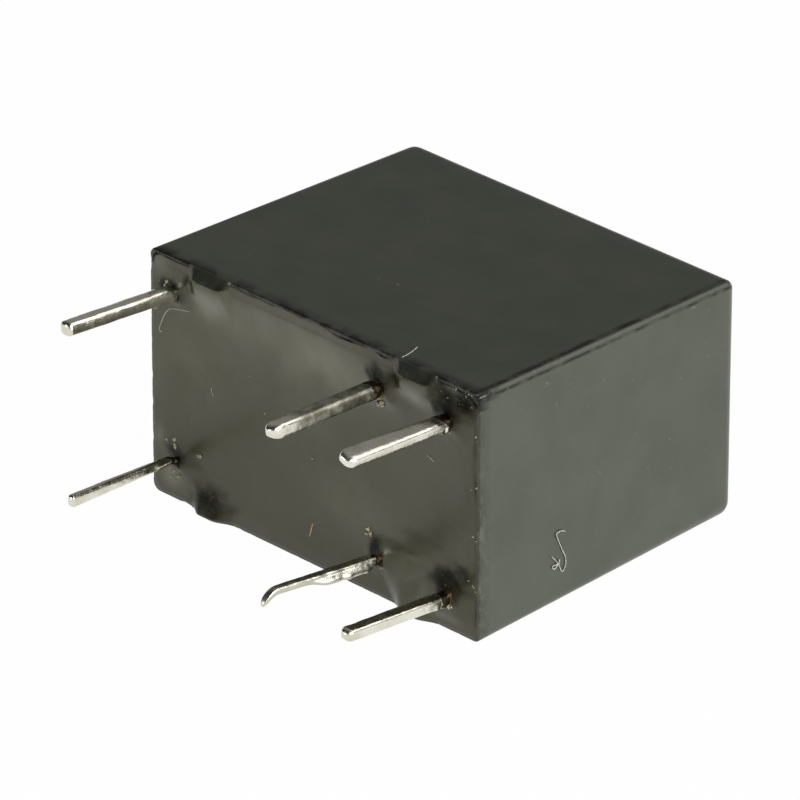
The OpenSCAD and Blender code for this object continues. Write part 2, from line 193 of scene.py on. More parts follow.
def mouldedCover():
    look = {
        "dark": (0.032, 0.037, 0.023), "light": (0.042, 0.047, 0.030), "worn": (0.11, 0.108, 0.085),
        "dust": (0.13, 0.13, 0.105), "paintedShade": (0.008, 0.009, 0.006),
        "mottle": ((0.35, 4, 0.5, (0, 0, 0)), (0.9, 3, 0.5, (1, 8, 3))),  # scale, detail, share, shift
        "scratches": (((14, 0.5, 14), (0.1, 0.5, 0.7)), ((0.4, 11, 11), (0.4, 0.2, 0.5))),  # stretch, turn
    }
    finish, tree, shader, place = startFinish("coverFinish", {"IOR": 1.6})
    mottled = remap(tree, mottle(tree, place, look["mottle"]), 0.38, 0.62)
    colour = mixColours(tree, mottled, look["dark"], look["light"])
    dust = remap(tree, cloud(tree, place, 6.5, 4, shift=(3, 1, 7)), 0.705, 0.765)
    colour = mixColours(tree, dust, colour, look["dust"])

    lines = []
    for stretch, turn in look["scratches"]:
        field = cloud(tree, place, 1.3, 2, stretch=stretch, turn=turn)
        lines.append(remap(tree, field, 0.745, 0.78))
    patch = remap(tree, cloud(tree, place, 0.5, 2, shift=(9, 2, 4)), 0.5, 0.6)
    scratch = combine(tree, "MULTIPLY", combine(tree, "MAXIMUM", *lines), patch)
    colour = mixColours(tree, combine(tree, "MULTIPLY", scratch, 0.5), colour, look["worn"])

    ragged = remap(tree, cloud(tree, place, 7, 5, stretch=(1, 1, 0.6)), 0.47, 0.6)
    worn = combine(tree, "MULTIPLY", pointValue(tree, "wear"), ragged)
    colour = mixColours(tree, worn, colour, look["worn"])
    # Painted shade: where the points carry it, the colour turns near black and the specular weakens (top
    # edge, rim strip, long top edge lines, front corner, top feet).
    uneven = remap(tree, cloud(tree, place, 1.8, 4, shift=(6, 6, 6)), 0.42, 0.52, 0.35, 1.0)
    paintedShade = combine(tree, "MULTIPLY", pointValue(tree, "paintedShade"), uneven)
    colour = mixColours(tree, paintedShade, colour, look["paintedShade"])

    grain = bumpFrom(tree, cloud(tree, place, 22, 3), 0.004)
    waves = bumpFrom(tree, cloud(tree, place, 0.55, 2), 0.03, grain)
    cuts = bumpFrom(tree, combine(tree, "SUBTRACT", 1.0, scratch), 0.002, waves)
    feed(tree, shader, {
        "Base Color": colour, "Roughness": remap(tree, worn, 0.0, 1.0, 0.31, 0.5),
        "Specular IOR Level": remap(tree, paintedShade, 0.0, 1.0, 0.5, 0.2), "Normal": cuts})
    return finish


def pouredResin():
    look = {
        "deep": (0.030, 0.031, 0.012), "mottled": (0.043, 0.043, 0.019), "hazeAndSheen": (0.200, 0.197, 0.135),
        "fluxAndShade": (0.006, 0.006, 0.004), "flux": (0.060, 0.050, 0.026),
        "mottle": ((0.4, 4, 0.6, (0, 0, 0)), (5, 4, 0.4, (2, 2, 2))),
    }
    values = {"IOR": 1.58, "Specular Tint": (1, 0.985, 0.86, 1)}
    finish, tree, shader, place = startFinish("resinFinish", values)
    mottled = remap(tree, mottle(tree, place, look["mottle"]), 0.35, 0.65)
    colour = mixColours(tree, mottled, look["deep"], look["mottled"])
    # Pale film and painted sheen: a pale colour where the points carry it, standing in partly for light
    # reflected off the resin's slopes.
    uneven = remap(tree, cloud(tree, place, 1.6, 4), 0.3, 0.7, 0.7, 1.0)
    hazeAndSheen = combine(tree, "MULTIPLY", pointValue(tree, "hazeAndSheen"), uneven)
    colour = mixColours(tree, hazeAndSheen, colour, look["hazeAndSheen"])
    # Painted shade with flux crust: near black and less specular where the points carry it, at the pin roots,
    # the lower feet and the film's edges; the flakes and crumbly bump are the crust.
    uneven = remap(tree, cloud(tree, place, 3.5, 4), 0.34, 0.5, 0.85, 1.0)
    fluxAndShade = combine(tree, "MULTIPLY", pointValue(tree, "fluxAndShade"), uneven)
    colour = mixColours(tree, fluxAndShade, colour, look["fluxAndShade"])
    flakes = remap(tree, cloud(tree, place, 6, 4, shift=(4, 4, 4)), 0.60, 0.68)
    colour = mixColours(tree, combine(tree, "MULTIPLY", fluxAndShade, flakes), colour, look["flux"])

    swell = bumpFrom(tree, cloud(tree, place, 0.45, 1), 0.05)
    pits = bumpFrom(tree, cloud(tree, place, 14, 3), 0.0012, swell)
    crumbly = bumpFrom(tree, combine(tree, "MULTIPLY", fluxAndShade, cloud(tree, place, 7, 4)), 0.03, pits)
    feed(tree, shader, {
        "Base Color": colour, "Roughness": remap(tree, fluxAndShade, 0.0, 1.0, 0.28, 0.5),
        "Specular IOR Level": remap(tree, fluxAndShade, 0.0, 1.0, 0.5, 0.06), "Normal": crumbly})
    return finish


def solderedPin():
    look = {
        "bright": (0.82, 0.80, 0.70), "dull": (0.64, 0.62, 0.49), "matt": (0.22, 0.216, 0.16),
        "tarnish": (0.055, 0.042, 0.026), "copper": (0.34, 0.22, 0.11),
    }
    finish, tree, shader, place = startFinish("solderFinish", {"Metallic": 1.0})
    dull = remap(tree, cloud(tree, place, 2.2, 4, stretch=(1, 0.5, 1)), 0.4, 0.7)
    colour = mixColours(tree, dull, look["bright"], look["dull"])
    matt = pointValue(tree, "matt")
    patches = remap(tree, cloud(tree, place, 3, 4, shift=(7, 7, 7)), 0.4, 0.6, 0.6, 1.0)
    colour = mixColours(tree, combine(tree, "MULTIPLY", matt, patches), colour, look["matt"])

    uneven = cloud(tree, place, 4, 4)
    bare = combine(tree, "ADD", pointValue(tree, "bare"), remap(tree, uneven, 0.3, 0.7, -0.3, 0.2))
    colour = mixColours(tree, remap(tree, bare, -0.03, 0.02), colour, look["tarnish"])
    colour = mixColours(tree, remap(tree, bare, 0.24, 0.34), colour, look["copper"])
    satin = remap(tree, uneven, 0.35, 0.7, 0.17, 0.31)
    satin = combine(tree, "ADD", satin, remap(tree, bare, -0.15, 0.05, 0.0, 0.2))
    satin = combine(tree, "ADD", satin, combine(tree, "MULTIPLY", matt, 0.14))
    drawn = bumpFrom(tree, cloud(tree, place, 7, 4, stretch=(1, 0.3, 1)), 0.012)
    pits = bumpFrom(tree, cloud(tree, place, 26, 3), 0.003, drawn)
    feed(tree, shader, {"Base Color": colour, "Roughness": satin, "Normal": pits})
    return finish


def plainFinish(name, first, second, satin, scale, metallic=0.0, stretch=(1, 1, 1), grain=0.004):
    finish, tree, shader, place = startFinish(name, {"Metallic": metallic, "IOR": 1.5})
    mottled = remap(tree, cloud(tree, place, scale, 4, stretch=stretch), 0.35, 0.65)
    smears = cloud(tree, place, scale * 2, 3, stretch=stretch)
    feed(tree, shader, {
        "Base Color": mixColours(tree, mottled, first, second),
        "Roughness": remap(tree, smears, 0.3, 0.7, satin - 0.08, satin + 0.08),
        "Normal": bumpFrom(tree, cloud(tree, place, scale * 8, 4, stretch=stretch), grain)})
    return finish


finishes = {
    "cover": mouldedCover(),
    "resin": pouredResin(),
    "solder": solderedPin(),
    "base": plainFinish("basePlastic", (0.022, 0.022, 0.021), (0.034, 0.034, 0.032), 0.45, scale=1.5),
    "former": plainFinish("formerPlastic", (0.66, 0.62, 0.50), (0.74, 0.70, 0.60), 0.42, scale=1.2),
    "copperWire": plainFinish("enamelledWire", (0.42, 0.13, 0.045), (0.56, 0.21, 0.08), 0.24,
                              metallic=0.85, scale=5, grain=0.002),
    "iron": plainFinish("relayIron", (0.44, 0.44, 0.43), (0.56, 0.55, 0.53), 0.34,
                        metallic=1.0, scale=3, stretch=(0.3, 2.5, 2.5), grain=0.005),
    "bronze": plainFinish("springBronze", (0.62, 0.42, 0.20), (0.74, 0.54, 0.29), 0.26,
                          metallic=1.0, scale=4, stretch=(0.2, 3, 3), grain=0.003),
    "silver": plainFinish("contactSilver", (0.80, 0.79, 0.76), (0.88, 0.87, 0.85), 0.22,
                          metallic=1.0, scale=7, grain=0.003),
    "dimFibre": plainFinish("dimFibre", (0.28, 0.28, 0.24), (0.46, 0.46, 0.41), 0.6, scale=14, grain=0.001),
    "brownFibre": plainFinish("brownFibre", (0.42, 0.29, 0.14), (0.62, 0.46, 0.25), 0.45,
                              scale=12, grain=0.001),
    "flux": plainFinish("fluxCrumb", (0.17, 0.16, 0.09), (0.48, 0.45, 0.32), 0.25, scale=14, grain=0.006),
}
print("finishes made:", len(finishes))


def addToShell(shell, points, faces):
    made = [shell.verts.new(Vector(p) * mm) for p in points]
    for face in faces:
        shell.faces.new([made[k] for k in face])
    return made


def closeShell(shell, mesh):
    bmesh.ops.recalc_face_normals(shell, faces=shell.faces)
    shell.to_mesh(mesh)
    shell.free()


def meshPiece(name, points, faces, finish, sharpAngle, replaced=(), fields=None):
    mesh = bpy.data.meshes.new(name)
    mesh.from_pydata([Vector(p) * mm for p in points], [], faces)
    shell = bmesh.new()
    shell.from_mesh(mesh)
    closeShell(shell, mesh)
    for key, values in (fields or {}).items():
        mesh.attributes.new(key, "FLOAT", "POINT").data.foreach_set("value", values)
    dressPiece(name, mesh, finish, sharpAngle, replaced)


def dressPiece(name, mesh, finish, sharpAngle, replaced=(), body="root"):
    mesh.materials.clear()
    mesh.materials.append(finish)
    for face in mesh.polygons:
        face.use_smooth = True
        face.material_index = 0
    mesh.set_sharp_from_angle(angle=math.radians(sharpAngle))
    piece = addObject(name, mesh)
    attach(piece, body)
    if replaced:
        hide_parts(*replaced)


def bridge(rings, closeStart=True, closeEnd=True, first=0):
    count = len(rings[0])
    last = first + (len(rings) - 1) * count
    points = [p for ring in rings for p in ring]
    faces = []
    for start in range(first, last, count):
        for i in range(count):
            j = (i + 1) % count
            faces.append((start + i, start + j, start + count + j, start + count + i))
    if closeStart:
        faces.append(tuple(first + i for i in reversed(range(count))))
    if closeEnd:
        faces.append(tuple(last + i for i in range(count)))
    return points, faces


def roundedRing(halfX, halfZ, radii, y, alongX, alongZ, inCorner):
    signs = ((1, 1), (-1, 1), (-1, -1), (1, -1))

    def onCorner(k, angle):
        (sx, sz), r, a = signs[k % 4], radii[k % 4], math.radians(angle)
        return sx * (halfX - r) + r * math.cos(a), sz * (halfZ - r) + r * math.sin(a)

    ring = []
    for k in range(4):
        ring += [onCorner(k, 90 * k + 90 * i / inCorner) for i in range(inCorner + 1)]
        start, end = ring[-1], onCorner(k + 1, 90 * (k + 1))
        steps = alongX if k % 2 == 0 else alongZ
        for t in (i / steps for i in range(1, steps)):
            ring.append((start[0] * (1 - t) + end[0] * t, start[1] * (1 - t) + end[1] * t))
    return [(x, y, z) for x, z in ring]


def easeBetween(low, high, value):
    t = min(max((value - low) / (high - low), 0), 1)
    return t * t * (3 - 2 * t)


def rough(x, y, z, scale, seed=0.0):
    return noise.noise(Vector((x * scale + seed, y * scale - seed, z * scale + 2 * seed)))


def inRoundedBox(x, z, halfX, halfZ, r):  # how far inside the box's outline, below zero outside it
    qx, qz = abs(x) - (halfX - r), abs(z) - (halfZ - r)
    outside = math.hypot(max(qx, 0), max(qz, 0))
    return r - outside - min(max(qx, qz), 0)


coverShape = {
    "rimPlane": 0.28, "top": 10.03, "draft": 0.11, "rimRadii": (0.16, 0.22, 0.25, 0.2), "endRadius": 0.42,
    "longEdgeRadius": 0.16, "leastRadius": 0.02, "wall": 0.4, "innerRadius": 0.2, "roofInside": 9.58,
    "edge": 0.045, "swell": 0.006, "alongX": 150, "alongZ": 100, "inCorner": 8, "sideRings": 24,
    "endRings": 8, "longEdgePlaces": (0, 1, 7, 8, 9),  # a ring's points beside that edge
    "nickDepth": 0.05, "nickHeight": 0.12, "nickBand": 0.1,
    "nicks": ((2.6, 3.1, 0.22, 1), (7.0, 8.4, 0.2, 0.5)),  # scale, seed, level that they start from, share
    "wornCorner": 0.22, "wornFront": 0.75, "wornHigh": 0.4, "wornElsewhere": 0.2,
    # how dark the painted shade is on the top edge, the rim strip, the front corner and the top feet
    "shadeEdge": 1.0, "shadeRim": 0.25, "shadeCorner": 0.9, "cornerReach": 0.5, "shadeFoot": 0.5,
}


def coverRings(shape, halfX, halfZ):
    rim, edge, end, draft = shape["rimPlane"], shape["edge"], shape["endRadius"], shape["draft"]
    wall, roof, least = shape["wall"], shape["roofInside"], shape["leastRadius"]
    turnAt = shape["top"] - end

    def ringAt(y, inset, radii):
        detail = (shape["alongX"], shape["alongZ"], shape["inCorner"])
        return roundedRing(halfX - inset, halfZ - inset, radii, y, *detail)

    outer = []
    for s in (math.radians(a) for a in (90, 60, 30, 0)):
        outer.append(ringAt(rim + edge * (1 - math.sin(s)), edge * (1 - math.cos(s)), shape["rimRadii"]))
    for t in (i / shape["sideRings"] for i in range(1, shape["sideRings"] + 1)):
        radii = (shape["longEdgeRadius"],) + tuple(r * (1 - t) + end * t for r in shape["rimRadii"][1:])
        outer.append(ringAt(rim + edge + (turnAt - rim - edge) * t, draft * t, radii))
    for i in range(1, shape["endRings"] + 1):
        s = math.radians(90 * i / shape["endRings"])
        r = least + (end - least) * math.cos(s)
        radii = (min(r, shape["longEdgeRadius"]), r, r, r)
        outer.append(ringAt(turnAt + end * math.sin(s), draft + end * (1 - math.cos(s)), radii))
    outer.append(ringAt(shape["top"], draft + end + 0.5, (least,) * 4))

    steps = ((rim, wall - 0.03), (rim + 0.012, wall - 0.008), (rim + 0.035, wall),
             (rim + 1, wall), (roof / 2, wall), (roof, wall))
    inner = [ringAt(y, inset, (shape["innerRadius"],) * 4) for y, inset in steps]
    rimFace = []
    for t in (0.35, 0.7):
        pairs = zip(outer[0], inner[0])
        rimFace.append([tuple((1 - t) * a + t * b for a, b in zip(p, q)) for p, q in pairs])
    return outer[::-1] + rimFace + inner, len(outer)


# A ring's level is below 0 outside the cover, 0 or 1 on the rim's face, and 2 or more inside.
def wornPoint(shape, x, y, z, halfX, halfZ, level):
    across = min(abs(abs(x) - halfX), abs(abs(z) - halfZ))
    edgeBand = max(0, 1 - across / shape["nickBand"])
    nearRim = max(0, 1 - (y - shape["rimPlane"]) / shape["nickHeight"]) if level < 2 else 0
    if level < 1 and nearRim > 0:
        nick = 0
        for scale, seed, start, share in shape["nicks"]:
            nick += share * max(0, rough(x, y, z, scale, seed) - start)
        depth = shape["nickDepth"] * nick * nearRim * edgeBand * (2.2 if x > halfX - 0.12 else 1)
        x -= math.copysign(depth, x) if abs(abs(x) - halfX) < 0.12 else 0
        z -= math.copysign(depth, z) if abs(abs(z) - halfZ) < 0.12 else 0
        y += depth * 0.8
    elif level < 0:
        swell = abs(shape["swell"] * rough(x, y, z, 0.3, 1.7))
        if abs(x) > halfX - 0.3 and abs(z) < halfZ - 0.3:
            x -= math.copysign(swell, x)
        if abs(z) > halfZ - 0.3 and abs(x) < halfX - 0.3:
            z -= math.copysign(swell, z)
    corner = math.hypot(abs(x) - halfX + 0.05, abs(z) - halfZ + 0.05)
    corner = max(0, 1 - corner / shape["wornCorner"]) if level < 0 else 0
    front = shape["wornFront" if z < 0.6 else "wornHigh"] if x > halfX - 0.2 else shape["wornElsewhere"]
    return (x, y, z), min(1, nearRim * edgeBand * front + 0.2 * corner)


# Painted shade on the cover: the top edge and rim strip, the front vertical rim edge, two dark lines along
# the long top edge and the front corner are darkened in colour.
def paintedShadeAt(shape, x, y, z, halfX, halfZ, level, place):
    rim = shape["rimPlane"]
    dark = 0.0
    if level < 2 and y < rim + 0.1 and z > halfZ - 0.4:
        dark = shape["shadeEdge" if z > halfZ - 0.06 else "shadeRim"]
    elif y < rim + 0.06 and x > halfX - 0.12:
        dark = shape["shadeRim"]
    if level < 0 and place in shape["longEdgePlaces"] and y < shape["top"] - shape["endRadius"] + 0.3:
        dark = max(dark, (0.9 if y > 4 else 1.1) + 0.9 * rough(x, y, z, 1.6, 6.3))
    if level < 0 and math.dist((x, y, z), (halfX, rim, halfZ)) < shape["cornerReach"]:
        dark = shape["shadeCorner"]
    return min(dark, 1)


def buildCover(shape):
    halfX, _, halfZ = nodeBox("cover")[1]
    rings, outerCount = coverRings(shape, halfX, halfZ)
    wear, paintedShade, moved = [], [], []
    for k, ring in enumerate(rings):
        level = k - outerCount
        for place, (x, y, z) in enumerate(ring):
            point, worn = wornPoint(shape, x, y, z, halfX, halfZ, level)
            moved.append(point)
            wear.append(worn)
            paintedShade.append(paintedShadeAt(shape, *point, halfX, halfZ, level, place))
    count = len(rings[0])
    points, faces = bridge([moved[k:k + count] for k in range(0, len(moved), count)])
    for sx in (-1, 1):
        for sz in (-1, 1):
            footPoints, footFaces = buildFoot(sx, sz, len(points))
            points += footPoints
            faces += footFaces
            wear += [0.0] * len(footPoints)
            # the top feet's facets get painted shade
            paintedShade += [shape["shadeFoot"] if sz > 0 else 0.0] * len(footPoints)
    meshPiece("coverShell", points, faces, finishes["cover"], sharpAngle=32,
              replaced=("cover",), fields={"wear": wear, "paintedShade": paintedShade})


# rise and fall: where a foot's ends slope along its length. ridge: the depth of its crest. inner: where
# its slope runs out into the resin.
footShape = {
    "centre": 3.81, "edge": 3.6, "wallDepth": 0.41, "from": -0.79, "length": 1.56, "half": 0.8, "reach": 2,
    "slices": 40, "sink": 0.003,
    "top": {"rise": (-0.80, -0.42), "fall": (0.58, 0.80), "height": 0.20, "ridge": 0.30, "inner": 1.25},
    "lowLeft": {"rise": (-0.80, -0.26), "fall": (0.14, 0.78), "height": 0.27, "ridge": 0.05, "inner": 0.88},
    "lowRight": {"rise": (-0.80, -0.26), "fall": (0.14, 0.78), "height": 0.27, "ridge": 0.05, "inner": 1.6,
                 "widen": 0.7},
}


def footKind(x, z):
    return footShape["top" if z > 0 else "lowLeft" if x < 0 else "lowRight"]


def footProfile(along, kind, fromEdge=0):
    (riseStart, riseEnd), (fallStart, fallEnd) = kind["rise"], kind["fall"]
    widen = kind.get("widen", 0) * fromEdge
    rise = easeBetween(riseStart - widen, riseEnd, along)
    return rise * (1 - easeBetween(fallStart, fallEnd + widen, along))


def ridgeOf(along, kind):
    return kind["ridge"] * math.sqrt(max(1 - abs(along / footShape["half"]) ** 3, 0))


def fromFoot(x, z):  # along from the middle of the nearest foot, and in from the long edge
    return x - math.copysign(footShape["centre"], x), footShape["edge"] - abs(z)


def footLift(x, z):
    kind = footKind(x, z)
    along, fromEdge = fromFoot(x, z)
    if abs(along) > footShape["reach"]:
        return 0
    fade = 1 - easeBetween(kind["ridge"], kind["inner"], fromEdge)
    return kind["height"] * footProfile(along, kind, fromEdge) * fade


def buildFoot(sx, sz, first):
    shape, kind = footShape, footKind(sx, sz)
    halfZ, rim = nodeBox("cover")[1].z, coverShape["rimPlane"]
    start = 0 if sz > 0 else 0.8  # share of the height at the cover's outer face
    rings = []
    for i in range(shape["slices"] + 1):
        along = shape["from"] + shape["length"] * i / shape["slices"]
        ridge = ridgeOf(along, kind)
        crest = rim + shape["sink"] - kind["height"] * footProfile(along, kind)
        section = [(0.006, rim + 0.06), (0.004, rim + 0.02)]  # depth in from the outer face, height
        section.append((0.004, rim + shape["sink"] - start * (rim - crest)))
        for t in (0.25, 0.5, 0.75, 1):
            rise = (crest - rim - shape["sink"]) * (start + (1 - start) * t)
            section.append((0.004 + ridge * t, rim + shape["sink"] + rise))
        for w in (0.31, 0.36, shape["wallDepth"] - 0.01):
            lowered = (rim - crest) * (1 - easeBetween(kind["ridge"], kind["inner"], w))
            section.append((max(w, ridge + 0.01), rim + 0.012 - lowered))
        section.append((shape["wallDepth"], rim + 0.06))
        rings.append([(sx * shape["centre"] + along, y, sz * (halfZ - w)) for w, y in section])
    return bridge(rings, first=first)


buildCover(coverShape)
print("cover built")

pinPlaces = {
    "A": (-5.08, 2.54), "B": (2.54, 2.54), "C": (5.08, 2.54),
    "D": (-5.08, -2.54), "E": (2.54, -2.54), "F": (5.08, -2.54),
}
# A lump of solder: y, angle round the pin, height, length, spread in degrees. pinDetail gives the rest.
pinShape = {
    "A": {"tip": (-5.20, -3.66, 2.86), "root": 2.66, "wide": 0.22, "thick": 0.21, "power": 2.6,
          "tipRound": 0.12, "roll": 4, "coatEnd": 0.05,
          "lumps": [(-0.50, 285, 0.08, 0.12, 26), (-0.95, 230, 0.03, 0.2, 40)]},
    "B": {"tip": (2.40, -3.66, 2.63), "root": 2.60, "wide": 0.24, "thick": 0.21, "power": 4.2,
          "tipRound": 0.32, "roll": 6, "coatEnd": -0.28, "matt": 1.0,
          "lumps": [(-2.35, 285, 0.07, 0.08, 20), (-2.15, 292, 0.06, 0.06, 18),
                    (-1.95, 288, 0.07, 0.05, 18), (-2.9, 280, 0.03, 0.5, 40)]},
    "C": {"tip": (5.10, -3.66, 2.83), "root": 2.56, "wide": 0.26, "thick": 0.18, "tipRound": 0.28,
          "roll": -24, "coatEnd": -0.28, "lumps": [(-0.25, 300, 0.05, 0.1, 30), (-0.1, 330, 0.05, 0.08, 30)]},
    "D": {"tip": (-5.10, -3.66, -2.16), "root": -2.26, "wide": 0.125, "thick": 0.08, "power": 3.4,
          "tipRound": 0.08, "taper": -0.42, "roll": -90, "rollBy": 0.32, "coatEnd": -0.1},
    "E": {"tip": (2.12, -3.66, -2.16), "root": -2.36, "wide": 0.14, "thick": 0.13, "taper": 0.2, "roll": 0,
          "bend": 0.32, "coatEnd": -0.2, "matt": 0.45, "mattTip": 1,
          "lumps": [(-1.45, 308, 0.16, 0.50, 30), (-1.0, 315, 0.05, 0.12, 20),
                    (-0.65, 300, 0.15, 0.36, 42), (-0.25, 290, 0.10, 0.18, 44)]},
    "F": {"tip": (5.12, -3.66, -2.20), "root": -2.56, "wide": 0.19, "thick": 0.18, "roll": -6,
          "coatEnd": -0.26, "lumps": [(-0.15, 320, 0.04, 0.1, 30), (-0.4, 330, 0.03, 0.1, 30)]},
}
# The resin's spots: x, z, size along x, size along z, amount; the pale spots are a pale film partly with
# painted sheen, the near-black spots flux crust partly with painted shade. A pin's climb: height, reach.
resinShape = {
    "skin": 0.268, "depth": 0.28, "soft": 0.05, "bottom": 0.845, "halfX": 5.7, "halfZ": 3.2, "corner": 0.2,
    "over": 0.34, "step": 0.042, "dishTop": 3.0, "dishLow": 1.7, "dishSide": 2.8, "plugTop": 0.44,
    "plugGap": 0.012, "waves": ((0.016, 0.4, 4.2), (0.006, 1.1, 9.0)),  # height, scale, seed
    "topFilm": 0.295, "sideFilm": 0.33, "endFilm": 0.24, "outline": (6.1, 3.6, 0.25), "pinHalf": (0.11, 0.16),
    "pinClimb": {"A": (0.22, 0.20), "B": (0.28, 0.26), "C": (0.28, 0.24),
                 "D": (0.20, 0.20), "E": (0.22, 0.20), "F": (0.28, 0.28)},
    "swells": [(4.6, -2.9, 1.1, 0.7, 0.14), (-0.6, 2.4, 1.8, 0.8, -0.05), (2.4, -2.9, 0.8, 0.5, -0.04)],
    "hazeAndSheen": [
        (-3.95, 2.62, 0.45, 0.42, 1.0), (-3.3, 2.4, 1.0, 0.8, 0.35), (-0.3, 2.45, 2.1, 0.9, 0.92),
        (1.4, 2.2, 0.8, 0.6, 0.25), (3.75, 2.75, 0.35, 0.25, 0.9), (4.45, 3.0, 0.2, 0.2, 0.5),
        (-5.75, 3.2, 0.35, 0.35, 0.7), (-4.8, 0.8, 1.5, 1.8, 0.24), (-1.2, 0.7, 2.0, 1.1, 0.22),
        (1.4, -1.4, 1.3, 0.8, 0.35), (3.5, -2.3, 0.6, 0.5, 0.5), (-3.8, -3.5, 0.5, 0.07, 0.4),
        (-5.3, -2.95, 0.45, 0.3, 0.8), (-5.8, -1.9, 0.2, 0.35, 0.6)],
    "fluxAndShade": [
        (5.1, -0.1, 1.1, 2.6, 0.10), (-5.32, 2.62, 0.50, 0.30, 1.0), (2.42, 2.72, 0.44, 0.46, 1.0),
        (3.12, 3.06, 0.19, 0.17, 0.8), (4.92, 2.92, 0.58, 0.54, 1.0), (5.50, 3.14, 0.5, 0.3, 1.0),
        (4.62, 3.2, 0.16, 0.2, 0.7), (5.02, -2.18, 0.60, 0.44, 1.0), (5.48, -1.78, 0.34, 0.28, 0.8),
        (2.28, -2.28, 0.30, 0.40, 1.0), (3.0, -1.9, 0.75, 0.16, 0.45), (3.9, -1.4, 0.9, 0.2, 0.25),
        (-3.84, -3.22, 0.72, 0.62, 0.84), (-5.2, -2.2, 0.42, 0.36, 0.8), (-4.7, -2.3, 0.4, 0.2, 0.35)],
}


def spotAt(x, z, spotX, spotZ, sizeX, sizeZ, amount):
    return amount * math.exp(-((x - spotX) / sizeX) ** 2 - ((z - spotZ) / sizeZ) ** 2)


def stainAt(x, z, spotX, spotZ, sizeX, sizeZ, amount):  # a spot with a sharper, ragged border
    away = math.hypot((x - spotX) / sizeX, (z - spotZ) / sizeZ)
    if away >= 2:
        return 0
    return amount * math.exp(-(away * (1 + 0.4 * rough(x, 6, z, 2.8))) ** 4)


def resinPoint(x, z, shape):
    halfX, halfZ = shape["halfX"], shape["halfZ"]
    inside = inRoundedBox(x, z, halfX, halfZ, shape["corner"])
    dish = 1 - min(abs(z) / halfZ, 1) ** (shape["dishTop"] if z > 0 else shape["dishLow"])
    dish *= 1 - min(abs(x) / halfX, 1) ** shape["dishSide"]
    hollow = shape["depth"] * dish
    for height, scale, seed in shape["waves"]:
        hollow += height * rough(x, 0, z, scale, seed)
    hollow -= sum(spotAt(x, z, *swell) for swell in shape["swells"])
    pinX, pinZ = shape["pinHalf"]
    for key, (px, pz) in pinPlaces.items():
        climb, reach = shape["pinClimb"][key]
        pz += 0.5 * (pinShape[key]["root"] - pz)
        away = math.hypot(max(abs(x - px) - pinX, 0), max(abs(z - pz) - pinZ, 0))
        hollow -= climb * math.exp(-away / reach) * (1 + 0.5 * rough(x, 2, z, 2.2, ord(key)))
    climbed, hollow = min(hollow, 0), max(hollow, 0)
    y = shape["skin"] + hollow * hollow / (hollow + shape["soft"])
    y = y + 0.6 * climbed * easeBetween(-0.3, 0.2, inside) - footLift(x, z)
    # Near-black spots: painted shade at the pin roots and feet, with flux crust.
    fluxAndShade = max(stainAt(x, z, *spot) for spot in shape["fluxAndShade"])
    if inside < 0:  # a thin film lies on the rim and ends short of its edge
        along, fromEdge = fromFoot(x, z)
        onFoot = abs(along) < footShape["half"] and abs(z) > halfZ
        film = shape["sideFilm"]
        if z > halfZ and not onFoot:
            film = shape["topFilm"] * (1 + 0.4 * rough(x, 5, z, 1.9))
            # the top and end films' edges and the seam by the rim are darkened: painted shade with dark flux
            filmEdge = easeBetween(-0.03, 0.02, -inside - film) * (0.95 + rough(x, 3, z, 2.6))
            seam = 0.18 * math.exp(-((inside + 0.05) / 0.035) ** 2) * (1 + rough(x, 1, z, 1.5))
            fluxAndShade = max(fluxAndShade, filmEdge, seam)
        elif x > halfX and abs(z) < halfZ:
            film = shape["endFilm"] + 0.08 * rough(x, 5, z, 1.2)
            fluxAndShade = max(fluxAndShade, easeBetween(-0.2, 0.04, -inside - film) * (0.18 + 0.7 * rough(x * 5, 3, z, 1.2)))
        y += max(0, -inside - film) * 0.15 + max(0, 0.09 - inRoundedBox(x, z, *shape["outline"])) * 1.5
        if onFoot and z > 0:
            y += max(0, ridgeOf(along, footKind(x, z)) + 0.01 - fromEdge) * 2
    # Pale patches: a pale film with painted sheen.
    hazeAndSheen = min(sum(spotAt(x, z, *spot) for spot in shape["hazeAndSheen"]), 1) * (0.9 + 0.5 * rough(x, 8, z, 0.9))
    return y, min(max(hazeAndSheen, 0), 1.2), min(max(fluxAndShade, 0), 1)


